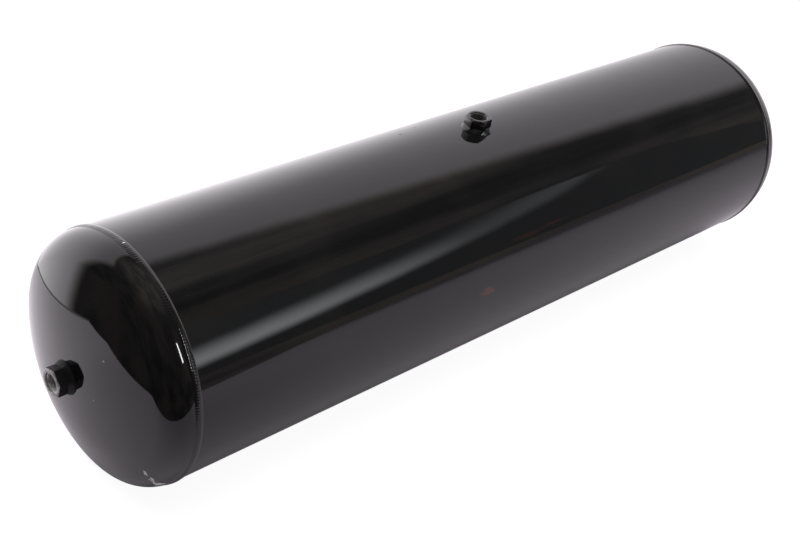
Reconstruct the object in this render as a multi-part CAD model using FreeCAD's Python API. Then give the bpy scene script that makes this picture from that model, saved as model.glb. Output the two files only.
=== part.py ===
"""Horizontal compressed-air reservoir: a rolled steel shell closed by two dished heads, with a
welded hex boss tapped M22 x 1.5 on top at mid-length and one in the middle of each head.

Millimetres. +X runs along the tank, +Z is up through the top port, and the origin is on the
floor under the middle of the tank. Each piece is one solid in its own node.
"""

import FreeCAD, Part
import math
import os

from FreeCAD import Vector

# ---- driving dimensions ----------------------------------------------------------------

# Shell: a sheet rolled to a tube, its two long edges butted and welded.
SHELL_OUTER_R = 138.0
SHELL_WALL = 2.5
SHELL_LENGTH = 983.5
SEAM_GAP = 1.6                # root gap between the sheet's long edges
SEAM_ANGLE = -90.0            # where the long seam is, from +Y towards +Z: underneath

# Dished heads: a crown, a knuckle, and a lip joggled inwards that slides into the shell.
HEAD_WALL = 3.0
CROWN_OUTER_R = 272.0
KNUCKLE_OUTER_R = 38.0
LIP_LENGTH = 16.0             # from the shoulder to the lip's inner end
LIP_CLEARANCE = 0.15          # radial, lip in shell
JOGGLE_RUN = 4.0              # length over which the inside face steps out
ROOT_GAP = 2.0                # between the shell's end and the head's shoulder

# Weld beads.
GIRTH_BEAD_WIDTH = 9.0
GIRTH_BEAD_CROWN = 1.3
SEAM_BEAD_WIDTH = 6.0
SEAM_BEAD_CROWN = 0.8
PORT_WELD_HEIGHT = 5.0        # up the boss, from the plate's outer surface
PORT_WELD_WIDTH = 2.4         # out along the plate, from the hex's corners
PORT_WELD_TOP = 0.4           # flat left at the top, outside the hex's corners
PORT_WELD_BULGE = 0.9         # how far the fillet's face swells out

# Hex boss, the same part at every port. It is sized outwards from its thread.
THREAD_BORE_R = 10.19         # bore of an M22 x 1.5 thread
THREAD_MOUTH_BEVEL = 1.1
SPIGOT_WALL = 2.8             # turned end that passes through the plate
SPIGOT_CLEARANCE = 0.1
SPIGOT_INSIDE = 2.0           # how far the spigot shows inside the tank
HEX_STEP = 1.01               # from the spigot out to the hex's flats, 28 across
HEX_STANDOUT = 16.2           # from the plate's outer surface to the boss's face
HEX_FACE_INSET = 0.6          # the round face's edge, in from the flats
HEX_CHAMFER_ANGLE = 30.0
TOP_PORT_X = 0.0
TOP_HEX_TURN = 12.0           # turn of each hex about its own axis, in degrees
LEFT_HEX_TURN = 11.0
RIGHT_HEX_TURN = 11.0

# ---- worked out from them --------------------------------------------------------------

AXIS_HEIGHT = SHELL_OUTER_R + GIRTH_BEAD_CROWN      # the tank lies on its two girth beads
SHELL_INNER_R = SHELL_OUTER_R - SHELL_WALL
SHELL_END = SHELL_LENGTH / 2
SHOULDER = SHELL_END + ROOT_GAP                     # where a head's outside face begins
KNUCKLE_CENTRE_R = SHELL_OUTER_R - KNUCKLE_OUTER_R
CROWN_TO_SHOULDER = math.sqrt(
    (CROWN_OUTER_R - KNUCKLE_OUTER_R) ** 2 - KNUCKLE_CENTRE_R**2
)
CROWN_CENTRE = SHOULDER - CROWN_TO_SHOULDER
APEX = CROWN_CENTRE + CROWN_OUTER_R                 # the middle of a head, outside
CROWN_ANGLE = math.atan2(KNUCKLE_CENTRE_R, CROWN_TO_SHOULDER)
LIP_OUTER_R = SHELL_INNER_R - LIP_CLEARANCE
BEAD_CENTRE = SHELL_END + ROOT_GAP / 2
BEAD_START = BEAD_CENTRE - GIRTH_BEAD_WIDTH / 2
BEAD_END = BEAD_CENTRE + GIRTH_BEAD_WIDTH / 2
SPIGOT_R = THREAD_BORE_R + SPIGOT_WALL
HEX_FLAT_R = SPIGOT_R + HEX_STEP
HEX_CORNER_R = HEX_FLAT_R / math.cos(math.radians(30))
HEX_FACE_R = HEX_FLAT_R - HEX_FACE_INSET
PORT_WELD_TOE_R = HEX_CORNER_R + PORT_WELD_WIDTH
MARGIN = 10.0                                       # how far cutting tools run past a face

X_AXIS = Vector(1, 0, 0)
Z_AXIS = Vector(0, 0, 1)
TANK_CENTRE = Vector(0, 0, AXIS_HEIGHT)


# ---- helpers ---------------------------------------------------------------------------

def line(a, b):
    return Part.LineSegment(Vector(*a), Vector(*b)).toShape()


def arc(a, middle, b):
    return Part.Arc(Vector(*a), Vector(*middle), Vector(*b)).toShape()


def revolved(edges, axis):
    """A closed outline in the XZ plane, turned once round an axis through the origin."""
    face = Part.Face(Part.Wire(edges))
    return face.revolve(Vector(0, 0, 0), axis, 360)


def knuckle_point(wall, angle):
    """A point (x, r) on the knuckle, wall inside the outer face, angle from the radial line."""
    radius = KNUCKLE_OUTER_R - wall
    return (
        SHOULDER + radius * math.sin(angle),
        KNUCKLE_CENTRE_R + radius * math.cos(angle),
    )


def crown_point(wall, angle):
    """A point (x, r) on the crown, wall inside the outer face, angle from the tank's axis."""
    radius = CROWN_OUTER_R - wall
    return (CROWN_CENTRE + radius * math.cos(angle), radius * math.sin(angle))


def at(point):
    return (point[0], 0, point[1])


def dish_edges(wall):
    """The dish's outline from shoulder to apex, wall inside the outer face, in the XZ plane."""
    turn = math.pi / 2 - CROWN_ANGLE
    knuckle = arc(
        at(knuckle_point(wall, 0)),
        at(knuckle_point(wall, turn / 2)),
        at(knuckle_point(wall, turn)),
    )
    crown = arc(
        at(crown_point(wall, CROWN_ANGLE)),
        at(crown_point(wall, CROWN_ANGLE / 2)),
        at(crown_point(wall, 0)),
    )
    return [knuckle, crown]


def placed(shape, end):
    """From about the tank's axis to its place: end is 1 for the right and -1 for the left."""
    copy = shape.copy()
    if end < 0:
        copy = copy.mirror(Vector(0, 0, 0), X_AXIS)
    copy.translate(TANK_CENTRE)
    return copy


def cylinder(radius, start, end, axis):
    length = end - start
    return Part.makeCylinder(radius, length, axis * start, axis)


# ---- shell -----------------------------------------------------------------------------

def seam_slot(width, low_r, high_r, half_length):
    """A bar along the tank at the long seam, from one radius to another."""
    bar = Part.makeBox(2 * half_length, high_r - low_r, width)
    bar.translate(Vector(-half_length, low_r, -width / 2))
    bar.rotate(Vector(0, 0, 0), X_AXIS, SEAM_ANGLE)
    return bar


def port_hole():
    return cylinder(SPIGOT_R + SPIGOT_CLEARANCE, 0, SHELL_OUTER_R + MARGIN, Z_AXIS)


def make_shell():
    outer = cylinder(SHELL_OUTER_R, -SHELL_END, SHELL_END, X_AXIS)
    inner = cylinder(SHELL_INNER_R, -SHELL_END - MARGIN, SHELL_END + MARGIN, X_AXIS)
    gap = seam_slot(
        SEAM_GAP, SHELL_INNER_R - MARGIN, SHELL_OUTER_R + MARGIN, SHELL_END + MARGIN
    )
    hole = port_hole()
    hole.translate(Vector(TOP_PORT_X, 0, 0))
    return outer.cut(inner).cut(gap).cut(hole)


def make_seam_weld():
    """Fills the gap between the sheet's edges, with a low crown between the girth beads."""
    half_angle = math.asin(SEAM_BEAD_WIDTH / 2 / SHELL_OUTER_R)
    edge_y = SHELL_OUTER_R * math.cos(half_angle)
    edge_z = SEAM_BEAD_WIDTH / 2
    crown = Part.Wire([
        arc(
            (-BEAD_START, edge_y, -edge_z),
            (-BEAD_START, SHELL_OUTER_R + SEAM_BEAD_CROWN, 0),
            (-BEAD_START, edge_y, edge_z),
        ),
        arc(
            (-BEAD_START, edge_y, edge_z),
            (-BEAD_START, SHELL_OUTER_R, 0),
            (-BEAD_START, edge_y, -edge_z),
        ),
    ])
    bead = Part.Face(crown).extrude(Vector(2 * BEAD_START, 0, 0))
    bead.rotate(Vector(0, 0, 0), X_AXIS, SEAM_ANGLE)
    # The root stops at the shell's two faces, which are round.
    root = seam_slot(SEAM_GAP, SHELL_INNER_R - MARGIN, SHELL_OUTER_R + MARGIN, SHELL_END)
    outer = cylinder(SHELL_OUTER_R, -SHELL_END, SHELL_END, X_AXIS)
    inner = cylinder(SHELL_INNER_R, -SHELL_END, SHELL_END, X_AXIS)
    root = root.common(outer).cut(inner)
    return root.fuse(bead).removeSplitter()


# ---- heads -----------------------------------------------------------------------------

def make_head():
    """The right-hand head about the tank's axis, with the hole for its port."""
    lip_end = SHOULDER - LIP_LENGTH
    lip_inner_r = LIP_OUTER_R - HEAD_WALL
    joggle_start = SHOULDER - JOGGLE_RUN / 2
    joggle_end_angle = math.asin(JOGGLE_RUN / (KNUCKLE_OUTER_R - HEAD_WALL))
    joggle_end = knuckle_point(HEAD_WALL, joggle_end_angle)
    turn = math.pi / 2 - CROWN_ANGLE
    inner_knuckle = arc(
        at(joggle_end),
        at(knuckle_point(HEAD_WALL, (joggle_end_angle + turn) / 2)),
        at(knuckle_point(HEAD_WALL, turn)),
    )
    outer_apex = at(crown_point(0, 0))
    inner_apex = at(crown_point(HEAD_WALL, 0))
    edges = [
        line((lip_end, 0, lip_inner_r), (lip_end, 0, LIP_OUTER_R)),
        line((lip_end, 0, LIP_OUTER_R), (SHOULDER, 0, LIP_OUTER_R)),
        line((SHOULDER, 0, LIP_OUTER_R), (SHOULDER, 0, SHELL_OUTER_R)),
        *dish_edges(0),
        line(outer_apex, inner_apex),
        dish_edges(HEAD_WALL)[1],
        inner_knuckle,
        line(at(joggle_end), (joggle_start, 0, lip_inner_r)),
        line((joggle_start, 0, lip_inner_r), (lip_end, 0, lip_inner_r)),
    ]
    head = revolved(Part.__sortEdges__(edges), X_AXIS)
    hole = cylinder(SPIGOT_R + SPIGOT_CLEARANCE, SHOULDER, APEX + MARGIN, X_AXIS)
    return head.cut(hole)


def make_girth_weld():
    """The right-hand bead: it fills the root gap and crowns over both plates."""
    end_angle = math.asin((BEAD_END - SHOULDER) / KNUCKLE_OUTER_R)
    toe = knuckle_point(0, end_angle)
    edges = [
        line((SHELL_END, 0, LIP_OUTER_R), (SHELL_END, 0, SHELL_OUTER_R)),
        line((SHELL_END, 0, SHELL_OUTER_R), (BEAD_START, 0, SHELL_OUTER_R)),
        arc(
            (BEAD_START, 0, SHELL_OUTER_R),
            (BEAD_CENTRE, 0, SHELL_OUTER_R + GIRTH_BEAD_CROWN),
            at(toe),
        ),
        arc(at(toe), at(knuckle_point(0, end_angle / 2)), (SHOULDER, 0, SHELL_OUTER_R)),
        line((SHOULDER, 0, SHELL_OUTER_R), (SHOULDER, 0, LIP_OUTER_R)),
        line((SHOULDER, 0, LIP_OUTER_R), (SHELL_END, 0, LIP_OUTER_R)),
    ]
    return revolved(edges, X_AXIS)


# ---- ports -----------------------------------------------------------------------------
# A port is made standing on +Z with the plate's outer surface at height plate_top, and the
# plate itself as plate, which trims the underside of the hex and of its weld to fit.

def hex_prism(low, high, turn):
    corners = []
    for i in range(7):
        angle = math.radians(60 * i + turn)
        corners.append(
            Vector(HEX_CORNER_R * math.cos(angle), HEX_CORNER_R * math.sin(angle), low)
        )
    return Part.Face(Part.makePolygon(corners)).extrude(Vector(0, 0, high - low))


def make_boss(plate, plate_top, wall, turn):
    """Hex body on the plate, a spigot through it, and the thread's bore from end to end."""
    face = plate_top + HEX_STANDOUT
    inside = plate_top - wall - SPIGOT_INSIDE
    corner_drop = (HEX_CORNER_R - HEX_FACE_R) * math.tan(math.radians(HEX_CHAMFER_ANGLE))
    edges = [
        line((0, 0, inside), (HEX_CORNER_R, 0, inside)),
        line((HEX_CORNER_R, 0, inside), (HEX_CORNER_R, 0, face - corner_drop)),
        line((HEX_CORNER_R, 0, face - corner_drop), (HEX_FACE_R, 0, face)),
        line((HEX_FACE_R, 0, face), (0, 0, face)),
        line((0, 0, face), (0, 0, inside)),
    ]
    envelope = revolved(edges, Z_AXIS)
    body = hex_prism(inside, face, turn).common(envelope).cut(plate)
    spigot = cylinder(SPIGOT_R, inside, face - HEX_STANDOUT / 2, Z_AXIS)
    mouth = Part.makeCone(
        THREAD_BORE_R,
        THREAD_BORE_R + THREAD_MOUTH_BEVEL,
        THREAD_MOUTH_BEVEL,
        Vector(0, 0, face - THREAD_MOUTH_BEVEL),
        Z_AXIS,
    )
    bore = cylinder(THREAD_BORE_R, inside - MARGIN, face + MARGIN, Z_AXIS)
    return body.fuse(spigot).cut(bore).cut(mouth).removeSplitter()


def make_port_weld(plate, plate_top, turn):
    """A convex fillet round the hex, down to the plate."""
    low = plate_top - MARGIN
    top = plate_top + PORT_WELD_HEIGHT
    inner_r = SPIGOT_R + SPIGOT_CLEARANCE
    top_r = HEX_CORNER_R + PORT_WELD_TOP
    middle = Vector((top_r + PORT_WELD_TOE_R) / 2, 0, (plate_top + top) / 2)
    outwards = Vector(top - plate_top, 0, PORT_WELD_TOE_R - top_r).normalize()
    swell = middle + outwards * PORT_WELD_BULGE
    edges = [
        line((inner_r, 0, low), (PORT_WELD_TOE_R, 0, low)),
        line((PORT_WELD_TOE_R, 0, low), (PORT_WELD_TOE_R, 0, plate_top)),
        arc(
            (PORT_WELD_TOE_R, 0, plate_top),
            swell,
            (top_r, 0, top),
        ),
        line((top_r, 0, top), (inner_r, 0, top)),
        line((inner_r, 0, top), (inner_r, 0, low)),
    ]
    ring = revolved(edges, Z_AXIS)
    return ring.cut(hex_prism(low - MARGIN, top + MARGIN, turn)).cut(plate)


def shell_plate():
    """All that lies inside the shell's outer surface near the top port."""
    reach = 3 * PORT_WELD_TOE_R
    return cylinder(SHELL_OUTER_R, -reach, reach, X_AXIS)


def head_plate():
    """All that lies inside a head's crown, with the head's axis stood up on +Z."""
    centre = Vector(0, 0, APEX - CROWN_OUTER_R)
    return Part.makeSphere(CROWN_OUTER_R, centre)


def make_top_port():
    plate = shell_plate()
    parts = (
        make_boss(plate, SHELL_OUTER_R, SHELL_WALL, TOP_HEX_TURN),
        make_port_weld(plate, SHELL_OUTER_R, TOP_HEX_TURN),
    )
    for part in parts:
        part.translate(Vector(TOP_PORT_X, 0, 0))
    return parts


def make_end_port(turn):
    """The right-hand port: made standing up, then laid over to point along +X."""
    plate = head_plate()
    parts = (
        make_boss(plate, APEX, HEAD_WALL, turn),
        make_port_weld(plate, APEX, turn),
    )
    for part in parts:
        part.rotate(Vector(0, 0, 0), Vector(0, 1, 0), 90)
    return parts


# ---- the whole tank --------------------------------------------------------------------

def make_tank():
    top_boss, top_weld = make_top_port()
    nodes = {
        "shell": placed(make_shell(), 1),
        "shell_seam_weld": placed(make_seam_weld(), 1),
        "top_port_boss": placed(top_boss, 1),
        "top_port_weld": placed(top_weld, 1),
    }
    head = make_head()
    girth = make_girth_weld()
    for side, end, turn in (("left", -1, LEFT_HEX_TURN), ("right", 1, RIGHT_HEX_TURN)):
        boss, weld = make_end_port(turn)
        nodes[side + "_head"] = placed(head, end)
        nodes[side + "_girth_weld"] = placed(girth, end)
        nodes[side + "_port_boss"] = placed(boss, end)
        nodes[side + "_port_weld"] = placed(weld, end)
    return nodes


os.makedirs("parts", exist_ok=True)
for name, shape in make_tank().items():
    shape.exportStep("parts/" + name + ".step")
    box = shape.BoundBox
    print(
        f"{name}: {len(shape.Solids)} solid, valid {shape.isValid()}, "
        f"{shape.Volume / 1000:.2f} cm3, x {box.XMin:.2f}..{box.XMax:.2f}, "
        f"y {box.YMin:.2f}..{box.YMax:.2f}, z {box.ZMin:.2f}..{box.ZMax:.2f}"
    )
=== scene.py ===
"""Horizontal pressure tank: the finished look of a black enamelled steel air tank, in a studio.

Metres. +X runs along the tank, +Z is up through the top port, and the floor is at z = 0.
"""

import math

import bpy
from mathutils import Matrix, Vector


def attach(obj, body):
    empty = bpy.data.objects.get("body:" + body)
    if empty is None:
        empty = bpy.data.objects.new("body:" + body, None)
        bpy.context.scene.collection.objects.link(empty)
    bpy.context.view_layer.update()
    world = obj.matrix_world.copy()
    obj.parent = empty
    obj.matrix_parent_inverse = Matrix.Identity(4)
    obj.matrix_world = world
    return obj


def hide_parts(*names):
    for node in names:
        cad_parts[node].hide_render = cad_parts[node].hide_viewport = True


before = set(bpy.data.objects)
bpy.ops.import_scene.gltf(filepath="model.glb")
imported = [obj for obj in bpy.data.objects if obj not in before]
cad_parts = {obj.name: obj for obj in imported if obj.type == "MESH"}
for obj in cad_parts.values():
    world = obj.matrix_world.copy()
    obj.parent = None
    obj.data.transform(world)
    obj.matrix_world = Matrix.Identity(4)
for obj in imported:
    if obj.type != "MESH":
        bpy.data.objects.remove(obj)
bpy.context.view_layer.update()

# ---- sizes -----------------------------------------------------------------------------

MM = 0.001
SHELL_R = 138 * MM
SHELL_WALL = 2.5 * MM
SHELL_END = 491.75 * MM
AXIS_HEIGHT = 139.3 * MM

HEAD_WALL = 3 * MM
CROWN_R = 272 * MM
KNUCKLE_R = 38 * MM
LIP_R = 135.35 * MM
LIP_LENGTH = 16 * MM
JOGGLE_RUN = 4 * MM
SHOULDER = 493.75 * MM
KNUCKLE_CENTRE_R = SHELL_R - KNUCKLE_R
CROWN_CENTRE = SHOULDER - math.sqrt((CROWN_R - KNUCKLE_R) ** 2 - KNUCKLE_CENTRE_R ** 2)
APEX = CROWN_CENTRE + CROWN_R
CROWN_ANGLE = math.atan2(KNUCKLE_CENTRE_R, SHOULDER - CROWN_CENTRE)

BEAD_CENTRE = 492.75 * MM
BEAD_HALF_WIDTH = 4.5 * MM
BEAD_CROWN = 1.3 * MM
BEAD_RIPPLES = 288
SEAM_ANGLE = math.radians(-90)
SEAM_HALF_WIDTH = 3 * MM
SEAM_CROWN = 0.8 * MM
SEAM_RIPPLES = 325

THREAD_BORE_R = 10.19 * MM
THREAD_ROOT_R = 11.0 * MM
THREAD_PITCH = 1.5 * MM
MOUTH_BEVEL = 1.1 * MM
SPIGOT_R = 12.99 * MM
HOLE_R = SPIGOT_R + 0.1 * MM
SPIGOT_INSIDE = 2 * MM
HEX_FLAT_R = 14.0 * MM
HEX_CORNER_R = HEX_FLAT_R / math.cos(math.radians(30))
HEX_FACE_R = HEX_FLAT_R - 0.6 * MM
HEX_CHAMFER = math.radians(30)
HEX_STANDOUT = 16.2 * MM
PORT_WELD_TOE_R = HEX_CORNER_R + 2.4 * MM
PORT_WELD_TOP_R = HEX_CORNER_R + 0.4 * MM
PORT_WELD_HEIGHT = 5 * MM
PORT_WELD_BULGE = 0.9 * MM
PORT_WELD_RIPPLES = 40
TOP_HEX_TURN = math.radians(12)
END_HEX_TURN = math.radians(11)

ROUND_STEPS = 256           # round the tank
PORT_STEPS = 96             # round a port's holes
AXIS = Vector((0, 0, AXIS_HEIGHT))


# ---- working in the viewport -----------------------------------------------------------

def let_go():
    if bpy.context.object and bpy.context.object.mode != "OBJECT":
        bpy.ops.object.mode_set(mode="OBJECT")
    bpy.ops.object.select_all(action="DESELECT")


def take(*objects):
    let_go()
    for piece in objects:
        piece.select_set(True)
    bpy.context.view_layer.objects.active = objects[0]


def edit(piece, kind="VERT"):
    take(piece)
    bpy.ops.object.mode_set(mode="EDIT")
    bpy.ops.mesh.select_mode(type=kind)
    bpy.ops.mesh.select_all(action="DESELECT")


def edit_all(piece):
    edit(piece)
    bpy.ops.mesh.select_all(action="SELECT")


def object_mode():
    bpy.ops.object.mode_set(mode="OBJECT")


def pick(piece, test, kind="VERT"):
    """In edit mode, selects the points, edges or faces whose middle passes the test."""
    bpy.ops.mesh.select_mode(type=kind)
    bpy.ops.mesh.select_all(action="DESELECT")
    bpy.ops.object.mode_set(mode="OBJECT")
    mesh = piece.data
    if kind == "VERT":
        for point in mesh.vertices:
            point.select = bool(test(point.co))
    elif kind == "EDGE":
        for line in mesh.edges:
            line.select = bool(test(*(mesh.vertices[i].co for i in line.vertices)))
    else:
        for face in mesh.polygons:
            face.select = bool(test(face.center, face.normal))
    bpy.ops.object.mode_set(mode="EDIT")


def named(name):
    piece = bpy.context.object
    piece.name = name
    piece.data.name = name
    return piece


def settle(piece):
    """Leaves the piece at the origin, unturned and unscaled, with its place in its mesh."""
    take(piece)
    bpy.ops.object.transform_apply(location=True, rotation=True, scale=True)


def tidy_skin(piece, gap=0.00002):
    edit_all(piece)
    bpy.ops.mesh.remove_doubles(threshold=gap)
    bpy.ops.mesh.normals_make_consistent(inside=False)
    object_mode()


def smooth(piece, angle):
    take(piece)
    bpy.ops.object.shade_smooth_by_angle(angle=math.radians(angle))


def finish_modifiers(piece):
    take(piece)
    for modifier in list(piece.modifiers):
        bpy.ops.object.modifier_apply(modifier=modifier.name)


def cut_with(piece, tool, how="DIFFERENCE"):
    modifier = piece.modifiers.new("cut", "BOOLEAN")
    modifier.operation = how
    modifier.solver = "EXACT"
    modifier.object = tool
    take(piece)
    bpy.ops.object.modifier_apply(modifier=modifier.name)
    bpy.data.objects.remove(tool, do_unlink=True)


def copy_of(piece, name):
    take(piece)
    bpy.ops.object.duplicate()
    return named(name)


# ---- drawing an outline and turning it -------------------------------------------------
# An outline is drawn in the XZ plane from one point on: straight runs are extruded, and
# arcs are spun about their centres.

def start_outline(x, z):
    let_go()
    bpy.ops.mesh.primitive_plane_add(size=MM, location=(0, 0, 0))
    piece = bpy.context.object
    bpy.ops.object.mode_set(mode="EDIT")
    bpy.ops.mesh.select_all(action="SELECT")
    bpy.ops.mesh.merge(type="CENTER")
    bpy.ops.transform.translate(value=(x, 0, z))
    return piece


def pen():
    mesh = bpy.context.object.data
    object_mode()
    spot = next(point.co.copy() for point in mesh.vertices if point.select)
    bpy.ops.object.mode_set(mode="EDIT")
    return spot


def run_to(x, z, steps=1):
    spot = pen()
    step = (Vector((x, 0, z)) - spot) / steps
    for _ in range(steps):
        bpy.ops.mesh.extrude_region_move(TRANSFORM_OT_translate={"value": step})


def arc_by(x, z, angle, steps):
    """Spins the outline's last point about (x, z); a positive angle turns from +Z towards +X."""
    bpy.ops.mesh.spin(steps=steps, angle=-angle, center=(x, 0, z), axis=(0, 1, 0))


def turn_outline(axis, steps, angle=2 * math.pi):
    bpy.ops.mesh.select_all(action="SELECT")
    bpy.ops.mesh.spin(steps=steps, angle=angle, center=(0, 0, 0), axis=axis)
    object_mode()


def close_outline():
    """Merges the outline's last point with its first."""
    bpy.ops.mesh.select_all(action="SELECT")
    bpy.ops.mesh.remove_doubles(threshold=0.01 * MM)


def done(piece, node, material, replaces=True):
    piece.data.materials.clear()
    piece.data.materials.append(material)
    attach(piece, "root")
    if replaces:
        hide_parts(node)


# ---- finishes --------------------------------------------------------------------------
# Every pattern follows Object coordinates, which on these pieces are the tank's own metres.

def new_finish(name):
    material = bpy.data.materials.new(name)
    material.use_nodes = True
    tree = material.node_tree
    tree.nodes.clear()
    output = tree.nodes.new("ShaderNodeOutputMaterial")
    shader = tree.nodes.new("ShaderNodeBsdfPrincipled")
    tree.links.new(shader.outputs[0], output.inputs[0])
    return material, tree, shader


def add(tree, kind, **settings):
    node = tree.nodes.new(kind)
    for key, value in settings.items():
        setattr(node, key, value)
    return node


def feed(tree, socket, value):
    """Links a node's output to a socket, or sets the socket to a plain value."""
    if isinstance(value, bpy.types.NodeSocket):
        tree.links.new(value, socket)
    else:
        socket.default_value = value


def sums(tree, operation, a, b=0.0, clamp=False):
    node = add(tree, "ShaderNodeMath", operation=operation, use_clamp=clamp)
    feed(tree, node.inputs[0], a)
    feed(tree, node.inputs[1], b)
    return node.outputs[0]


def ramp(tree, value, low, high, start=0.0, end=1.0):
    """Start up to low, end from high, and a smooth step between."""
    node = add(tree, "ShaderNodeMapRange", interpolation_type="SMOOTHSTEP")
    feed(tree, node.inputs["Value"], value)
    for name, amount in (
        ("From Min", low), ("From Max", high), ("To Min", start), ("To Max", end),
    ):
        node.inputs[name].default_value = amount
    return node.outputs["Result"]


def place(tree):
    return add(tree, "ShaderNodeTexCoord").outputs["Object"]


def noise(tree, scale, detail=2.0, roughness=0.5, stretch=None, shift=(0, 0, 0)):
    where = place(tree)
    if stretch or any(shift):
        mapping = add(tree, "ShaderNodeMapping")
        feed(tree, mapping.inputs["Vector"], where)
        mapping.inputs["Location"].default_value = shift
        mapping.inputs["Scale"].default_value = stretch or (1, 1, 1)
        where = mapping.outputs["Vector"]
    node = add(tree, "ShaderNodeTexNoise")
    feed(tree, node.inputs["Vector"], where)
    node.inputs["Scale"].default_value = scale
    node.inputs["Detail"].default_value = detail
    node.inputs["Roughness"].default_value = roughness
    return node.outputs["Fac"]


def blend(tree, amount, a, b):
    node = add(tree, "ShaderNodeMix", data_type="RGBA")
    feed(tree, node.inputs[0], amount)
    for socket, value in ((node.inputs[6], a), (node.inputs[7], b)):
        feed(tree, socket, (*value, 1.0) if isinstance(value, tuple) else value)
    return node.outputs[2]


def bumps(tree, height, distance, below=None):
    node = add(tree, "ShaderNodeBump")
    node.inputs["Strength"].default_value = 1.0
    node.inputs["Distance"].default_value = distance
    feed(tree, node.inputs["Height"], height)
    if below is not None:
        feed(tree, node.inputs["Normal"], below)
    return node.outputs[0]


def away_from(tree, centre, stretch=(1, 1, 1)):
    """Distance from a spot on the tank, with the three directions stretched."""
    moved = add(tree, "ShaderNodeVectorMath", operation="SUBTRACT")
    feed(tree, moved.inputs[0], place(tree))
    moved.inputs[1].default_value = centre
    scaled = add(tree, "ShaderNodeVectorMath", operation="MULTIPLY")
    feed(tree, scaled.inputs[0], moved.outputs[0])
    scaled.inputs[1].default_value = stretch
    length = add(tree, "ShaderNodeVectorMath", operation="LENGTH")
    feed(tree, length.inputs[0], scaled.outputs[0])
    return length.outputs["Value"]


def spot(tree, centre, size, ragged=0.35, stretch=(1, 1, 1)):
    """One inside a ragged-edged mark of this size, nought outside."""
    reach = away_from(tree, centre, stretch)
    rough = noise(tree, 1.3 / size, detail=3.0)
    uneven = sums(tree, "MULTIPLY", sums(tree, "SUBTRACT", rough, 0.5), 4 * ragged * size)
    return ramp(tree, sums(tree, "ADD", reach, uneven), 0.75 * size, 1.0 * size, 1.0, 0.0)


def make_black_enamel(name, wave=0.05 * MM, marks=()):
    """Gloss black enamel; marks are (centre, size, ragged, stretch, colour, amount)."""
    material, tree, shader = new_finish(name)
    dusty = ramp(tree, noise(tree, 1100, detail=1.0), 0.74, 0.82)
    film = ramp(tree, noise(tree, 14, detail=3.0), 0.45, 0.8)
    up = add(tree, "ShaderNodeSeparateXYZ")
    feed(tree, up.inputs[0], add(tree, "ShaderNodeNewGeometry").outputs["Normal"])
    lying = ramp(tree, up.outputs[2], -0.2, 0.9, 0.1, 1.0)
    dust = sums(tree, "MULTIPLY", dusty, lying, clamp=True)
    base = blend(tree, film, (0.004, 0.004, 0.0045), (0.007, 0.0065, 0.0065))
    colour = blend(tree, dust, base, (0.055, 0.055, 0.058))
    rough = ramp(tree, film, 0.0, 1.0, 0.035, 0.075)
    for centre, size, ragged, stretch, paint, amount in marks:
        mark = spot(tree, centre, size, ragged, stretch)
        mark = sums(tree, "MULTIPLY", mark, amount)
        colour = blend(tree, mark, colour, paint)
        rough = sums(tree, "ADD", rough, sums(tree, "MULTIPLY", mark, 0.4))
    feed(tree, shader.inputs["Base Color"], colour)
    feed(tree, shader.inputs["Roughness"], rough)
    shader.inputs["IOR"].default_value = 1.5
    waves = bumps(tree, noise(tree, 11, detail=1.0), wave * 6)
    peel = bumps(tree, noise(tree, 420, detail=1.0), 0.003 * MM, waves)
    feed(tree, shader.inputs["Normal"], peel)
    return material


def make_dull_enamel(name):
    """Thin, dry overspray that hardly shines."""
    material, tree, shader = new_finish(name)
    shade = noise(tree, 320, detail=3.0)
    feed(tree, shader.inputs["Base Color"],
         blend(tree, shade, (0.003, 0.003, 0.0035), (0.012, 0.0115, 0.011)))
    feed(tree, shader.inputs["Roughness"], ramp(tree, shade, 0.3, 0.7, 0.40, 0.65))
    shader.inputs["Specular IOR Level"].default_value = 0.14
    feed(tree, shader.inputs["Normal"], bumps(tree, shade, 0.06 * MM))
    return material


def steel_colour(tree, scale=260, bright=1.0):
    """Turned steel; bright scales how pale it is."""
    return blend(tree, noise(tree, scale, detail=3.0),
                 (0.20 * bright, 0.197 * bright, 0.193 * bright),
                 (0.42 * bright, 0.414 * bright, 0.41 * bright))


def make_bare_steel(name, bright, metallic):
    material, tree, shader = new_finish(name)
    feed(tree, shader.inputs["Base Color"], steel_colour(tree, bright=bright))
    feed(tree, shader.inputs["Roughness"], ramp(tree, noise(tree, 260), 0.2, 0.8, 0.30, 0.45))
    shader.inputs["Metallic"].default_value = metallic
    return material


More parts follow.
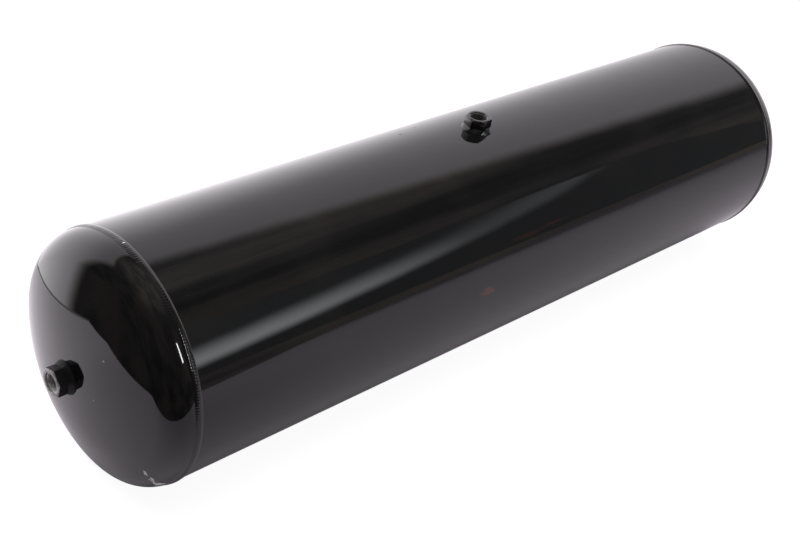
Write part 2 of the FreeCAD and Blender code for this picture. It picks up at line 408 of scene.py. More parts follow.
def make_boss_finish(name, axis, face, gloss, bare, shine, bright):
    """Enamel on a boss's body, rubbed thin or off on its round face and in its bore.

    axis is 0 for X or 2 for Z, face is the round face's place along it from the tank's
    middle, gloss is the enamel's lowest and highest roughness, bare is how much steel shows
    on the face, shine is the specular level, and bright is how pale the steel is; on the top
    port it is set low as painted shade for its bore.
    """
    material, tree, shader = new_finish(name)
    parts = add(tree, "ShaderNodeSeparateXYZ")
    where = add(tree, "ShaderNodeVectorMath", operation="SUBTRACT")
    feed(tree, where.inputs[0], place(tree))
    where.inputs[1].default_value = AXIS
    feed(tree, parts.inputs[0], where.outputs[0])
    out = parts.outputs[axis]
    if face < 0:
        out = sums(tree, "MULTIPLY", out, -1.0)
    ragged = sums(tree, "MULTIPLY", sums(tree, "SUBTRACT", noise(tree, 300), 0.5), 1.4 * MM)
    near_face = ramp(tree, sums(tree, "ADD", out, ragged),
                     abs(face) - 1.5 * MM, abs(face) - 0.9 * MM)
    radial = add(tree, "ShaderNodeVectorMath", operation="MULTIPLY")
    feed(tree, radial.inputs[0], where.outputs[0])
    radial.inputs[1].default_value = [0.0 if i == axis else 1.0 for i in range(3)]
    reach = add(tree, "ShaderNodeVectorMath", operation="LENGTH")
    feed(tree, reach.inputs[0], radial.outputs[0])
    bore = ramp(tree, reach.outputs["Value"],
                THREAD_ROOT_R + 0.3 * MM, THREAD_ROOT_R + 0.6 * MM, 1.0, 0.0)
    patchy = ramp(tree, noise(tree, 210, detail=3.0), 0.35, 0.65, bare[0], bare[1])
    steel = sums(tree, "MAXIMUM", sums(tree, "MULTIPLY", near_face, patchy), bore)
    feed(tree, shader.inputs["Base Color"],
         blend(tree, steel, (0.005, 0.005, 0.0055), steel_colour(tree, 420, bright)))
    shader.inputs["Specular IOR Level"].default_value = shine
    low, high = gloss
    body = ramp(tree, noise(tree, 160, detail=2.0), 0.3, 0.7, low, high)
    roughness = add(tree, "ShaderNodeMix")
    feed(tree, roughness.inputs[0], steel)
    feed(tree, roughness.inputs[2], body)
    roughness.inputs[3].default_value = 0.40
    feed(tree, shader.inputs["Roughness"], roughness.outputs[0])
    feed(tree, shader.inputs["Metallic"], sums(tree, "MULTIPLY", steel, 0.55))
    shader.inputs["IOR"].default_value = 1.5
    lumps = bumps(tree, noise(tree, 330, detail=2.0), 0.05 * MM)
    feed(tree, shader.inputs["Normal"], lumps)
    return material


# Marks on the enamel: (place, size, raggedness, stretch, colour, amount)
PALE = (0.62, 0.62, 0.64)
REDDISH_BROWN = (0.10, 0.030, 0.014)
ROUND = (1, 1, 1)
LENGTHWISE = (0.10, 1, 1)
DULL_BLACK = (0.006, 0.006, 0.006)
body_marks = (
    ((-0.0867, 0.0405, 0.2712), 2.2 * MM, 0.3, ROUND, DULL_BLACK, 1.0),
    ((-0.0545, 0.0495, 0.2681), 1.8 * MM, 0.3, ROUND, DULL_BLACK, 1.0),
    # A reddish-brown blotch and two faint reddish-brown streaks lengthwise, on the front of the
    # shell.
    ((-0.0903, -0.1370, 0.1548), 5.5 * MM, 0.5, (0.42, 1, 1), REDDISH_BROWN, 0.55),
    ((-0.0200, -0.1231, 0.2016), 2.6 * MM, 0.9, LENGTHWISE, REDDISH_BROWN, 0.15),
    ((0.0250, -0.1222, 0.2034), 2.0 * MM, 0.9, LENGTHWISE, REDDISH_BROWN, 0.15),
    ((-0.5445, -0.0514, 0.1896), 0.9 * MM, 0.2, ROUND, PALE, 0.8),
    ((-0.5505, -0.0449, 0.1398), 0.8 * MM, 0.2, ROUND, PALE, 0.7),
    ((-0.5262, -0.1012, 0.0753), 2.2 * MM, 0.9, (1, 1, 0.5), PALE, 0.9),
    ((-0.5200, -0.1040, 0.0670), 2.6 * MM, 0.9, (1, 1, 0.6), PALE, 0.9),
    ((-0.5120, -0.1035, 0.0550), 4.5 * MM, 0.9, (0.6, 1, 0.8), PALE, 0.95),
)
# One small pale dot on top of the left girth weld.
pale_dot_on_weld = (((-0.4927, -0.0014, 0.2773), 1.5 * MM, 0.3, ROUND, (0.8, 0.8, 0.82), 1.0),)

black_enamel = make_black_enamel("black_enamel", marks=body_marks)
weld_enamel = make_black_enamel("enamel_over_weld", wave=0.0, marks=pale_dot_on_weld)
dull_weld_enamel = make_dull_enamel("dull_enamel_over_weld")
TOP_FACE = SHELL_R + HEX_STANDOUT
END_FACE = APEX + HEX_STANDOUT
WORN = ((0.40, 0.65), (0.6, 0.95), 0.14, 1.1)
boss_finish = {
    # Painted shade: the top port's bare steel, on its face and in its bore, is made darker than
    # the end ports', as its bore lies in shade.
    "top": make_boss_finish(
        "enamelled_top_port_painted_shade", 2, TOP_FACE, (0.06, 0.16), (0.0, 0.35), 0.45, 0.45),
    "left": make_boss_finish("worn_left_port", 0, -END_FACE, *WORN),
    "right": make_boss_finish("worn_right_port", 0, END_FACE, *WORN),
}
thread_steel = {
    # Painted shade: the top port's thread steel is made darker than the end ports', as its bore
    # lies in shade.
    "top": make_bare_steel("top_thread_steel_painted_shade", 0.5, 0.8),
    # Painted highlight: the end ports' thread steel is bare, and made twice as pale to stand in
    # for glints on its threads.
    "left": make_bare_steel("bare_thread_steel_painted_highlight", 2.0, 0.25),
}
thread_steel["right"] = thread_steel["left"]


# ---- shell -----------------------------------------------------------------------------

def make_shell():
    """A rolled sheet tube, cut into rings so that its facets stay even, with the port's hole."""
    let_go()
    bpy.ops.mesh.primitive_cylinder_add(
        vertices=ROUND_STEPS, radius=SHELL_R, depth=2 * SHELL_END,
        end_fill_type="NOTHING", location=AXIS, rotation=(0, math.pi / 2, 0),
    )
    shell = named("shell_sheet")
    settle(shell)
    near_port = [(step - 5) * 4.4 * MM for step in range(11)]
    along = [(step - 12) * 40 * MM for step in range(25)]
    cuts = near_port + [x for x in along if abs(x) > 23 * MM]
    for x in cuts:
        edit_all(shell)
        bpy.ops.mesh.bisect(plane_co=(x, 0, 0), plane_no=(1, 0, 0))
        object_mode()
    wall = shell.modifiers.new("wall", "SOLIDIFY")
    wall.thickness = SHELL_WALL
    wall.offset = -1
    wall.use_even_offset = True
    finish_modifiers(shell)
    let_go()
    bpy.ops.mesh.primitive_cylinder_add(
        vertices=PORT_STEPS, radius=HOLE_R, depth=40 * MM, location=(0, 0, AXIS_HEIGHT + SHELL_R),
    )
    cut_with(shell, named("port_drill"))
    smooth(shell, 30)
    return shell


# ---- dished heads ----------------------------------------------------------------------

def dish_point(wall, angle):
    """On the crown or knuckle, wall inside the outer face, angle from the tank's axis."""
    if angle <= CROWN_ANGLE:
        radius = CROWN_R - wall
        return CROWN_CENTRE + radius * math.cos(angle), radius * math.sin(angle)
    radius = KNUCKLE_R - wall
    return (
        SHOULDER + radius * math.cos(angle),
        KNUCKLE_CENTRE_R + radius * math.sin(angle),
    )


def make_head():
    """The right-hand head, drawn in section round its wall and turned."""
    hole_out = math.asin(HOLE_R / CROWN_R)
    hole_in = math.asin(HOLE_R / (CROWN_R - HEAD_WALL))
    lip_end = SHOULDER - LIP_LENGTH
    lip_in = LIP_R - HEAD_WALL
    joggle_angle = math.pi / 2 - math.asin(JOGGLE_RUN / (KNUCKLE_R - HEAD_WALL))
    head = start_outline(*dish_point(0, hole_out))
    arc_by(CROWN_CENTRE, 0, hole_out - CROWN_ANGLE, 30)
    arc_by(SHOULDER, KNUCKLE_CENTRE_R, CROWN_ANGLE - math.pi / 2, 26)
    run_to(SHOULDER, LIP_R)
    run_to(lip_end, LIP_R)
    run_to(lip_end, lip_in)
    run_to(SHOULDER - JOGGLE_RUN / 2, lip_in)
    run_to(*dish_point(HEAD_WALL, joggle_angle))
    arc_by(SHOULDER, KNUCKLE_CENTRE_R, joggle_angle - CROWN_ANGLE, 14)
    arc_by(CROWN_CENTRE, 0, CROWN_ANGLE - hole_in, 14)
    run_to(*dish_point(0, hole_out))
    close_outline()
    turn_outline((1, 0, 0), ROUND_STEPS)
    named("head")
    tidy_skin(head)
    return head


def set_at_end(piece, name, end):
    """A copy of a right-hand piece about the X axis, set at an end: 1 is right, -1 is left."""
    other = copy_of(piece, name)
    take(other)
    if end < 0:
        bpy.ops.transform.mirror(constraint_axis=(True, False, False),
                                 center_override=(0, 0, 0))
    bpy.ops.transform.translate(value=AXIS)
    settle(other)
    edit_all(other)
    bpy.ops.mesh.normals_make_consistent(inside=False)
    object_mode()
    return other


# ---- weld beads ------------------------------------------------------------------------

def repeat_round(piece, axis, count):
    """Copies one ripple of a bead all the way round an axis through the origin."""
    let_go()
    bpy.ops.object.empty_add(location=(0, 0, 0))
    pivot = bpy.context.object
    pivot.rotation_euler = Vector(axis) * (2 * math.pi / count)
    bpy.context.view_layer.update()
    array = piece.modifiers.new("round", "ARRAY")
    array.fit_type = "FIXED_COUNT"
    array.count = count
    array.use_relative_offset = False
    array.use_object_offset = True
    array.offset_object = pivot
    array.use_merge_vertices = True
    array.use_merge_vertices_cap = True
    array.merge_threshold = 0.01 * MM
    finish_modifiers(piece)
    bpy.data.objects.remove(pivot, do_unlink=True)


def roughen(piece, size, strength):
    """Small unevenness of a hand's work, laid on a mesh and applied."""
    cloud = bpy.data.textures.new(piece.name + "_unevenness", "CLOUDS")
    cloud.noise_scale = size
    cloud.noise_depth = 1
    uneven = piece.modifiers.new("uneven", "DISPLACE")
    uneven.texture = cloud
    uneven.texture_coords = "LOCAL"
    uneven.strength = strength
    uneven.mid_level = 0.5
    finish_modifiers(piece)


RIPPLE_STEPS = 4
RIPPLE_DROP = (0.0, 0.07, 0.15, 0.22)     # mm below the crown, from a ripple's crest on


def points_where(piece, test):
    return [point.index for point in piece.data.vertices if test(point.co)]


def pick_points(piece, numbers):
    edit(piece)
    bpy.ops.object.mode_set(mode="OBJECT")
    for number in numbers:
        piece.data.vertices[number].select = True
    bpy.ops.object.mode_set(mode="EDIT")


def turn_points(piece, numbers, angle, axis):
    """Turns some of a mesh's points about an axis through the origin."""
    pick_points(piece, numbers)
    bpy.ops.transform.rotate(value=angle, orient_axis=axis, center_override=(0, 0, 0))
    object_mode()


def make_girth_bead():
    """The right-hand bead: one ripple across the joint, repeated round the tank."""
    pitch = 2 * math.pi / BEAD_RIPPLES
    crown = BEAD_CROWN - 0.08 * MM
    half = BEAD_HALF_WIDTH
    radius = (half ** 2 + crown ** 2) / (2 * crown)
    centre_z = SHELL_R + crown - radius
    side = math.asin(half / radius)
    bead = start_outline(BEAD_CENTRE - half, SHELL_R)
    arc_by(BEAD_CENTRE, centre_z, 2 * side, 12)
    run_to(BEAD_CENTRE + half, SHELL_R - 0.7 * MM)
    run_to(SHOULDER, SHELL_R - 0.9 * MM)
    run_to(SHOULDER, LIP_R)
    run_to(SHELL_END, LIP_R)
    run_to(SHELL_END, SHELL_R - 0.9 * MM)
    run_to(BEAD_CENTRE - half, SHELL_R - 0.7 * MM)
    run_to(BEAD_CENTRE - half, SHELL_R)
    close_outline()
    turn_outline((1, 0, 0), RIPPLE_STEPS, pitch)
    named("girth_bead")

    def out(point):
        return math.hypot(point.y, point.z)

    def station_of(point):
        return round(abs(math.atan2(point.y, point.z)) / pitch * RIPPLE_STEPS)

    crown_points = points_where(bead, lambda p: out(p) > SHELL_R - 0.1 * MM)
    stations = {
        step: [i for i in crown_points if station_of(bead.data.vertices[i].co) == step]
        for step in range(1, RIPPLE_STEPS)
    }
    rows = {}
    for i in crown_points:
        rows.setdefault(round(bead.data.vertices[i].co.x, 6), []).append(i)
    for step, numbers in stations.items():
        pick_points(bead, numbers)
        scale = 1 - RIPPLE_DROP[step] * MM / SHELL_R
        bpy.ops.transform.resize(value=(1, scale, scale), center_override=(0, 0, 0))
        object_mode()
    for x, numbers in rows.items():
        across = (x - BEAD_CENTRE) / half
        turn_points(bead, numbers, across ** 2 * 1.8 * MM / SHELL_R, "X")
    repeat_round(bead, (1, 0, 0), BEAD_RIPPLES)
    tidy_skin(bead, 0.005 * MM)
    return bead


def make_seam_bead():
    """A low bead along the shell, one ripple repeated; made on top and turned to its place."""
    pitch = 2 * (SHELL_END - 4 * MM) / SEAM_RIPPLES
    half = SEAM_HALF_WIDTH
    crown = SEAM_CROWN - 0.05 * MM
    let_go()
    bpy.ops.mesh.primitive_grid_add(
        x_subdivisions=RIPPLE_STEPS, y_subdivisions=10, size=1,
        location=(0, 0, 0),
    )
    bead = named("seam_bead")
    bpy.ops.transform.resize(value=(pitch, 2 * half, 1))
    settle(bead)
    rows = sorted({round(p.co.y, 7) for p in bead.data.vertices})
    for y in rows:
        across = y / half
        edit(bead)
        pick(bead, lambda p: abs(p.y - y) < 1e-6)
        height = crown * (1 - across ** 2) - 0.08 * MM - half ** 2 * across ** 2 / (2 * SHELL_R)
        bpy.ops.transform.translate(value=(-across ** 2 * 0.9 * MM, 0, height))
        object_mode()
    for step in range(1, RIPPLE_STEPS):
        x = -pitch / 2 + pitch * step / RIPPLE_STEPS
        edit(bead)
        pick(bead, lambda p: abs(p.x + (p.y / half) ** 2 * 0.9 * MM - x) < 0.05 * MM)
        bpy.ops.transform.translate(value=(0, 0, -0.6 * RIPPLE_DROP[step] * MM))
        object_mode()
    array = bead.modifiers.new("along", "ARRAY")
    array.fit_type = "FIXED_COUNT"
    array.count = SEAM_RIPPLES
    array.use_relative_offset = False
    array.use_constant_offset = True
    array.constant_offset_displace = (pitch, 0, 0)
    array.use_merge_vertices = True
    array.merge_threshold = 0.01 * MM
    finish_modifiers(bead)
    edit_all(bead)
    bpy.ops.mesh.extrude_region_move(TRANSFORM_OT_translate={"value": (0, 0, -1.2 * MM)})
    bpy.ops.mesh.select_all(action="SELECT")
    bpy.ops.mesh.normals_make_consistent(inside=False)
    bpy.ops.transform.translate(
        value=(-pitch * (SEAM_RIPPLES - 1) / 2, 0, SHELL_R)
    )
    object_mode()
    bead.rotation_euler = (SEAM_ANGLE - math.pi / 2, 0, 0)
    bead.location = AXIS
    settle(bead)
    return bead


# ---- ports -----------------------------------------------------------------------------
# A port is made standing up about the Z axis, with the plate's outside at plate_top.

def make_boss(plate_top, wall, turn):
    """Hex body with a rounded-off face, a spigot below, and a bore down to the thread's root."""
    face = plate_top + HEX_STANDOUT
    inside = plate_top - wall - SPIGOT_INSIDE
    seat = plate_top - 1.2 * MM
    drop = (HEX_CORNER_R - HEX_FACE_R) * math.tan(HEX_CHAMFER)
    let_go()
    bpy.ops.mesh.primitive_cylinder_add(
        vertices=6, radius=HEX_CORNER_R, depth=face - seat,
        location=(0, 0, (face + seat) / 2), rotation=(0, 0, turn + math.radians(30)),
    )
    boss = named("hex_boss")
    settle(boss)
    top = start_outline(0, seat - MM)
    run_to(HEX_CORNER_R + MM, seat - MM)
    run_to(HEX_CORNER_R + MM, face - drop - MM * math.tan(HEX_CHAMFER))
    run_to(HEX_FACE_R, face)
    run_to(0, face)
    turn_outline((0, 0, 1), 120)
    named("boss_turning")
    tidy_skin(top)
    cut_with(boss, top, "INTERSECT")
    let_go()
    bpy.ops.mesh.primitive_cylinder_add(
        vertices=PORT_STEPS, radius=SPIGOT_R, depth=seat - inside + 0.5 * MM,
        location=(0, 0, (seat + inside + 0.5 * MM) / 2),
    )
    cut_with(boss, named("spigot"), "UNION")
    bore = start_outline(0, inside - MM)
    run_to(THREAD_ROOT_R, inside - MM)
    run_to(THREAD_ROOT_R, face - MOUTH_BEVEL + (THREAD_ROOT_R - THREAD_BORE_R))
    run_to(THREAD_BORE_R + MOUTH_BEVEL + MM, face + MM)
    run_to(0, face + MM)
    turn_outline((0, 0, 1), PORT_STEPS)
    named("boss_drill")
    tidy_skin(bore)
    cut_with(boss, bore)
    edges = boss.modifiers.new("worn_edges", "BEVEL")
    edges.limit_method = "ANGLE"
    edges.angle_limit = math.radians(25)
    edges.width = 0.55 * MM
    edges.segments = 3
    edges.use_clamp_overlap = True
    finish_modifiers(boss)
    return boss


def make_thread(plate_top, wall):
    """The thread's ridge: a sharp-crested coil in the bore, from root to crest."""
    bottom = plate_top - wall - SPIGOT_INSIDE + 0.4 * MM
    length = HEX_STANDOUT + wall + SPIGOT_INSIDE
    turns = int((length - 2.2 * MM) / THREAD_PITCH)
    coil = start_outline(THREAD_ROOT_R + 0.1 * MM, bottom)
    run_to(THREAD_BORE_R, bottom + 0.6 * MM)
    run_to(THREAD_BORE_R, bottom + 0.82 * MM)
    run_to(THREAD_ROOT_R + 0.1 * MM, bottom + 1.42 * MM)
    run_to(THREAD_ROOT_R + 0.1 * MM, bottom)
    close_outline()
    object_mode()
    coil = named("thread_coil")
    screw = coil.modifiers.new("screw", "SCREW")
    screw.axis = "Z"
    screw.angle = 2 * math.pi
    screw.screw_offset = THREAD_PITCH
    screw.iterations = turns
    screw.steps = 48
    screw.render_steps = 48
    finish_modifiers(coil)
    edit_all(coil)
    bpy.ops.mesh.remove_doubles(threshold=0.001 * MM)
    bpy.ops.mesh.select_all(action="DESELECT")
    bpy.ops.mesh.select_non_manifold()
    bpy.ops.mesh.fill_holes(sides=4)
    bpy.ops.mesh.select_all(action="SELECT")
    bpy.ops.mesh.normals_make_consistent(inside=False)
    object_mode()
    return coil


def make_port_bead(plate_top):
    """A convex fillet round the hex, one ripple repeated, still standing on a flat plate."""
    top = plate_top + PORT_WELD_HEIGHT
    low = plate_top + 0.1 * MM
    run, rise = PORT_WELD_TOE_R - PORT_WELD_TOP_R, top - low
    chord = math.hypot(run, rise)
    bulge = PORT_WELD_BULGE
    radius = (chord ** 2 / 4 + bulge ** 2) / (2 * bulge)
    back = radius - bulge
    centre_x = (PORT_WELD_TOE_R + PORT_WELD_TOP_R) / 2 - back * rise / chord
    centre_z = (top + low) / 2 - back * run / chord
    sweep = 2 * math.asin(chord / 2 / radius)
    pitch = 2 * math.pi / PORT_WELD_RIPPLES
    face_rows = 8
    bead = start_outline(PORT_WELD_TOP_R, top)
    arc_by(centre_x, centre_z, sweep, face_rows)
    run_to(HOLE_R, low)
    run_to(HOLE_R, top)
    run_to(PORT_WELD_TOP_R, top)
    close_outline()
    turn_outline((0, 0, 1), RIPPLE_STEPS, pitch)
    named("port_bead")

    def station_of(point):
        return round(abs(math.atan2(point.y, point.x)) / pitch * RIPPLE_STEPS)

    face_points = points_where(
        bead, lambda p: math.hypot(p.x, p.y) > PORT_WELD_TOP_R - 0.01 * MM
    )
    places = {i: bead.data.vertices[i].co.copy() for i in face_points}
    heights = sorted({round(co.z, 6) for co in places.values()})
    plate_group = bead.vertex_groups.new(name="plate")
    hex_group = bead.vertex_groups.new(name="hex")
    for number, height in enumerate(heights):
        row = [i for i, co in places.items() if abs(co.z - height) < 2e-6]
        down = number / face_rows
        plate_group.add(row, 1 - down, "REPLACE")
        hex_group.add(row, down ** 3, "REPLACE")
    foot = points_where(
        bead, lambda p: math.hypot(p.x, p.y) < HOLE_R + 0.01 * MM and p.z < low + 0.01 * MM
    )
    plate_group.add(foot, 1, "REPLACE")
    for step in range(1, RIPPLE_STEPS):
        numbers = [i for i, co in places.items() if station_of(co) == step
                   and heights[0] + MM / 4 < co.z < top - 0.01 * MM]
        drop = RIPPLE_DROP[step] * MM * 0.7
        pick_points(bead, numbers)
        bpy.ops.transform.translate(value=(-drop, 0, -0.5 * drop))
        object_mode()
    for number, height in enumerate(heights):
        across = 2 * number / face_rows - 1
        row = [i for i, co in places.items() if abs(co.z - height) < 2e-6]
        turn_points(bead, row, across ** 2 * 1.2 * MM / PORT_WELD_TOE_R, "Z")
    repeat_round(bead, (0, 0, 1), PORT_WELD_RIPPLES)
    return bead


def lay_on(bead, plate, boss):
    """Draws the bead's toe down on to the plate and its top edge in to the hex."""
    toe = bead.modifiers.new("toe", "SHRINKWRAP")
    toe.wrap_method = "PROJECT"
    toe.target = plate
    toe.vertex_group = "plate"
    toe.use_project_z = True
    toe.use_negative_direction = True
    toe.use_positive_direction = False
    toe.offset = -0.05 * MM
    top = bead.modifiers.new("top", "SHRINKWRAP")
    top.wrap_method = "NEAREST_SURFACEPOINT"
    top.wrap_mode = "ON_SURFACE"
    top.target = boss
    top.vertex_group = "hex"
    top.offset = -0.05 * MM
    finish_modifiers(bead)
    bpy.data.objects.remove(plate, do_unlink=True)
    bead.vertex_groups.clear()
    tidy_skin(bead, 0.005 * MM)
    roughen(bead, 4 * MM, 0.16 * MM)


def make_port(name, plate_top, wall, turn, plate):
    """Boss, bead and thread of one port, standing up about the Z axis."""
    boss = make_boss(plate_top, wall, turn)
    bead = make_port_bead(plate_top)
    lay_on(bead, plate, boss)
    thread = make_thread(plate_top, wall)
    for piece, part in ((boss, "boss"), (bead, "bead"), (thread, "thread")):
        piece.name = piece.data.name = name + "_" + part
    smooth(boss, 28)
    smooth(bead, 50)
    smooth(thread, 30)
    return boss, bead, thread


def round_plate():
    """Stands in for the shell under the top port while its bead is laid on."""
    let_go()
    bpy.ops.mesh.primitive_cylinder_add(
        vertices=ROUND_STEPS, radius=SHELL_R, depth=0.2, rotation=(0, math.pi / 2, 0),
    )
    plate = named("plate")
    settle(plate)
    return plate


def dished_plate():
    """Stands in for a head's crown under an end port while its bead is laid on."""
    plate = start_outline(0, APEX)
    arc_by(0, APEX - CROWN_R, math.asin(3 * HOLE_R / CROWN_R), 40)
    turn_outline((0, 0, 1), 128)
    named("plate")
    tidy_skin(plate)
    return plate


def stand(parts, lean=0.0):
    """Turns a port's parts about the Y axis and lifts them to the tank's axis."""
    for piece in parts:
        piece.rotation_euler = (0, lean, 0)
        piece.location = AXIS
        settle(piece)


# ---- putting the tank together ---------------------------------------------------------

done(make_shell(), "shell", black_enamel)
done(make_seam_bead(), "shell_seam_weld", weld_enamel)

head = make_head()
girth = make_girth_bead()
roughen(girth, 6 * MM, 0.22 * MM)
for side, end in (("left", -1), ("right", 1)):
    dish = set_at_end(head, side + "_dish", end)
    smooth(dish, 30)
    done(dish, side + "_head", black_enamel)
    bead = set_at_end(girth, side + "_girth_bead", end)
    smooth(bead, 50)
    done(bead, side + "_girth_weld", weld_enamel)
for spare in (head, girth):
    bpy.data.objects.remove(spare, do_unlink=True)

for side, plate_top, wall, turn, plate, lean in (
    ("top", SHELL_R, SHELL_WALL, TOP_HEX_TURN, round_plate, 0.0),
    ("left", APEX, HEAD_WALL, -END_HEX_TURN, dished_plate, -math.pi / 2),
    ("right", APEX, HEAD_WALL, END_HEX_TURN, dished_plate, math.pi / 2),
):
    boss, bead, thread = make_port(side + "_port", plate_top, wall, turn, plate())
    stand((boss, bead, thread), lean)
    done(boss, side + "_port_boss", boss_finish[side])
    done(bead, side + "_port_weld",
         weld_enamel if side == "top" else dull_weld_enamel)
    done(thread, side + "_port_thread", thread_steel[side], replaces=False)


# ---- camera ----------------------------------------------------------------------------

let_go()
bpy.ops.object.camera_add()
camera = named("camera")
camera.matrix_world = Matrix((
    (0.722723, 0.289497, -0.627585, -1.07701),
    (-0.676037, 0.484906, -0.554840, -0.86972),
    (0.143695, 0.825266, 0.546162, 0.96586),
    (0, 0, 0, 1),
))
camera.data.sensor_width = 36
camera.data.lens = 57.79
camera.data.clip_start = 0.01
bpy.context.scene.camera = camera
bpy.context.scene.view_settings.view_transform = "Standard"


# ---- studio ----------------------------------------------------------------------------
# The enamel mirrors all of this: a table, white cards, one lit card and a narrow strip.

NEAR_SIDE_Y = -2.2            # where the lit card and the strip stand
TABLE_LEFT, TABLE_RIGHT = -1.25, 8.0
TABLE_FRONT, TABLE_BACK = -7.3, 0.50
TABLE_EDGES = (               # a point on each slanting edge, and the way the edge runs
    ((-0.5, -0.6), (8.5, -6.7)),
    ((-1.25, 0.28), (0.75, -0.88)),
)
STRIP_STRENGTH = 30.0
CARD_BASE_STRENGTH = 0.15


def flat(name, size, location, facing, material, camera_sees=False, gloss_sees=True):
    """A flat studio panel facing a direction; its shade falls nowhere."""
    let_go()
    bpy.ops.mesh.primitive_plane_add(size=1, location=location)
    panel = named(name)
    panel.rotation_euler = Vector(facing).to_track_quat("Z", "Y").to_euler()
    panel.scale = (size[0], size[1], 1)
    panel.visible_camera = camera_sees
    panel.visible_glossy = gloss_sees
    panel.visible_shadow = False
    panel.data.materials.append(material)
    return panel


def glow(name, strength, color=(1, 1, 1)):
    material = bpy.data.materials.new(name)
    material.use_nodes = True
    tree = material.node_tree
    tree.nodes.clear()
    output = tree.nodes.new("ShaderNodeOutputMaterial")
    light = tree.nodes.new("ShaderNodeEmission")
    light.inputs["Color"].default_value = (*color, 1)
    feed(tree, light.inputs["Strength"], strength)
    tree.links.new(light.outputs[0], output.inputs[0])
    return material, tree, light


def make_seen_floor():
    """The white floor as the camera sees it: nearly evenly lit, with the faintest shade."""
    material, tree, light = glow("white_floor", 0.93)
    shade = add(tree, "ShaderNodeBsdfDiffuse")
    shade.inputs["Color"].default_value = (0.20, 0.20, 0.20, 1)
    both = add(tree, "ShaderNodeAddShader")
    tree.links.new(light.outputs[0], both.inputs[0])
    tree.links.new(shade.outputs[0], both.inputs[1])
    tree.links.new(both.outputs[0], tree.nodes["Material Output"].inputs[0])
    floor = flat("floor", (60, 60), (0, 0, 0), (0, 0, 1), material, True, False)
    floor.visible_diffuse = False


def make_lit_floor():
    """The table top that the enamel mirrors: white with painted light and shade, and ending a
    little way past the tank.
    """
    material, tree, shader = new_finish("table_top")
    parts = add(tree, "ShaderNodeSeparateXYZ")
    feed(tree, parts.inputs[0], place(tree))
    # Painted light and shade: the table's colour is paler towards the back and the right and
    # darker at the front, as the studio light falls on it.
    back = ramp(tree, parts.outputs[1], -0.40, 0.05)
    right = ramp(tree, parts.outputs[0], -0.6, 0.0)
    front = blend(tree, right, (0.47, 0.44, 0.49), (0.64, 0.60, 0.66))
    feed(tree, shader.inputs["Base Color"], blend(tree, back, front, (0.82, 0.77, 0.84)))
    # Painted light: the table glows faintly behind the tank, lifting the shade that falls there.
    shader.inputs["Emission Color"].default_value = (1, 0.98, 1, 1)
    feed(tree, shader.inputs["Emission Strength"],
         ramp(tree, parts.outputs[1], 0.0, 0.3, 0.0, 0.3))
    shader.inputs["Roughness"].default_value = 1.0
    shader.inputs["Specular IOR Level"].default_value = 0.0
    table = flat(
        "table", (TABLE_RIGHT - TABLE_LEFT, TABLE_BACK - TABLE_FRONT),
        ((TABLE_LEFT + TABLE_RIGHT) / 2, (TABLE_FRONT + TABLE_BACK) / 2, -0.5 * MM),
        (0, 0, 1), material,
    )
    settle(table)
    for corner, edge_way in TABLE_EDGES:
        edit_all(table)
        bpy.ops.mesh.bisect(
            plane_co=(*corner, 0), plane_no=(edge_way[1], -edge_way[0], 0), clear_outer=True,
        )
        object_mode()


def make_slanting_card():
    """The lit card on the near side: brightest along a line that climbs as it goes back."""
    material, tree, light = glow("slanting_card", 1.0, (0.94, 0.97, 1.0))
    parts = add(tree, "ShaderNodeSeparateXYZ")
    feed(tree, parts.inputs[0], place(tree))
    along = sums(tree, "SUBTRACT", parts.outputs[0], 0.7)
    climb = sums(tree, "MULTIPLY", along, sums(
        tree, "ADD", sums(tree, "MULTIPLY", along, 0.13), 0.25))
    over = sums(tree, "SUBTRACT", sums(tree, "SUBTRACT", parts.outputs[2], 0.80), climb)
    band = sums(tree, "MULTIPLY", ramp(tree, over, -0.30, 0.0),
                ramp(tree, over, 0.0, 0.62, 1.0, 0.03))
    peak = ramp(tree, parts.outputs[0], 0.8, 2.3, 2.9, 0.45)
    feed(tree, light.inputs["Strength"],
         sums(tree, "ADD", sums(tree, "MULTIPLY", band, peak), CARD_BASE_STRENGTH))
    settle(flat(
        "slanting_card", (3.55, 2.1), (2.225, NEAR_SIDE_Y, 1.35), (0, 1, 0), material,
    ))


make_seen_floor()
make_lit_floor()
make_slanting_card()
flat("card_foot", (9.2, 8 * MM), (3.35, TABLE_BACK + 3 * MM, 4 * MM), (0, -1, 0),
     glow("card_foot", 0.5)[0])
flat("strip_light", (0.11, 0.8), (-0.19, NEAR_SIDE_Y, 1.42), (0, 1, 0),
     glow("strip_light", STRIP_STRENGTH)[0])


def overhead(name, size, location, power, toward=(0, 0, 0.1)):
    """A broad light that lights the table and bare steel but leaves no mirror image."""
    let_go()
    bpy.ops.object.light_add(type="AREA", location=location)
    light = bpy.context.object
    light.name = light.data.name = name
    light.data.size = size
    light.data.energy = power
    light.rotation_euler = (Vector(toward) - Vector(location)).to_track_quat("-Z", "Y").to_euler()
    light.visible_glossy = False
    light.visible_camera = False


overhead("overhead_left", 1.4, (-1.2, 0.9, 2.2), 30)
overhead("overhead_middle", 2.0, (0.6, -0.6, 2.6), 40)


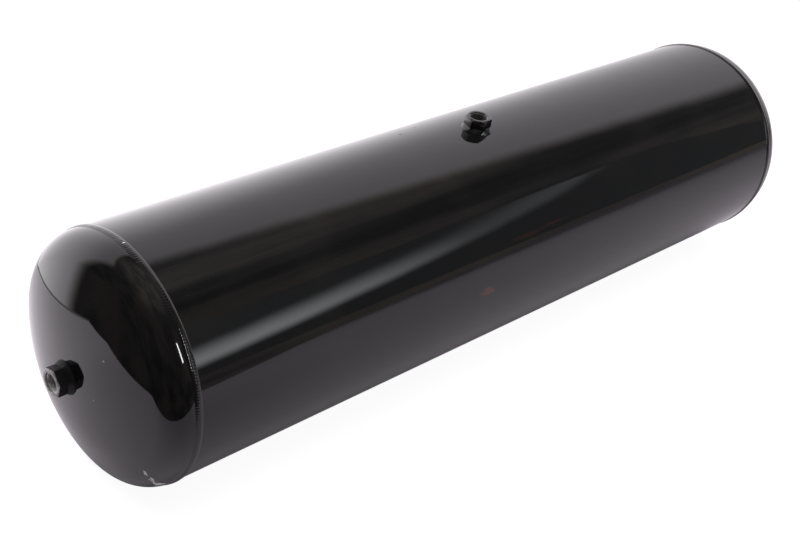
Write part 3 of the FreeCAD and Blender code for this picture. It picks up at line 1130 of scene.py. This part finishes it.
def make_room():
    """White card behind the tank and to its left, and a dim room on the near side."""
    world = bpy.data.worlds.new("studio")
    bpy.context.scene.world = world
    world.use_nodes = True
    tree = world.node_tree
    tree.nodes.clear()
    output = tree.nodes.new("ShaderNodeOutputWorld")
    background = tree.nodes.new("ShaderNodeBackground")
    tree.links.new(background.outputs[0], output.inputs[0])
    way = add(tree, "ShaderNodeTexCoord").outputs["Generated"]

    def towards(azimuth, elevation=0.0):
        node = add(tree, "ShaderNodeVectorMath", operation="DOT_PRODUCT")
        feed(tree, node.inputs[0], way)
        a, e = math.radians(azimuth), math.radians(elevation)
        node.inputs[1].default_value = (
            math.cos(a) * math.cos(e), math.sin(a) * math.cos(e), math.sin(e)
        )
        return node.outputs["Value"]

    high = towards(0, 90)
    back_card = ramp(tree, towards(40), 0.50, 0.62)
    upright = sums(tree, "MULTIPLY", towards(88), 1.65)
    left_card = sums(
        tree, "MULTIPLY", ramp(tree, towards(38), -0.12, 0.06),
        ramp(tree, sums(tree, "SUBTRACT", upright, high), -0.06, 0.10))
    card = sums(tree, "MAXIMUM", back_card, left_card)
    card_light = ramp(tree, towards(90), 0.6, 1.0, 1.15, 2.15)
    clutter = add(tree, "ShaderNodeTexNoise")
    feed(tree, clutter.inputs["Vector"], way)
    clutter.inputs["Scale"].default_value = 3.2
    clutter.inputs["Detail"].default_value = 3.0
    uneven = ramp(tree, clutter.outputs["Fac"], 0.35, 0.65, 0.45, 1.7)
    dim = ramp(tree, high, 0.78, 0.99, 0.07, 0.28)
    dim = sums(tree, "ADD", dim, ramp(tree, towards(-30), 0.45, 0.95, 0.0, 0.13))
    dim = sums(tree, "ADD", dim, ramp(tree, towards(-8, 64), 0.93, 0.99, 0.0, 0.14))
    dim = sums(tree, "MULTIPLY", dim, uneven)
    strength = add(tree, "ShaderNodeMix")
    feed(tree, strength.inputs[0], card)
    feed(tree, strength.inputs[2], dim)
    feed(tree, strength.inputs[3], card_light)
    seen = add(tree, "ShaderNodeLightPath").outputs["Is Camera Ray"]
    final = add(tree, "ShaderNodeMix")
    feed(tree, final.inputs[0], seen)
    feed(tree, final.inputs[2], strength.outputs[0])
    final.inputs[3].default_value = 1.0
    feed(tree, background.inputs["Strength"], final.outputs[0])
    dusk = blend(tree, ramp(tree, clutter.outputs["Fac"], 0.35, 0.65), (1.0, 0.97, 0.98),
                 (1.0, 0.86, 0.76))
    tint = blend(tree, card, dusk, (1.0, 0.955, 1.0))
    feed(tree, background.inputs["Color"], blend(tree, seen, tint, (1.0, 1.0, 1.0)))


make_room()
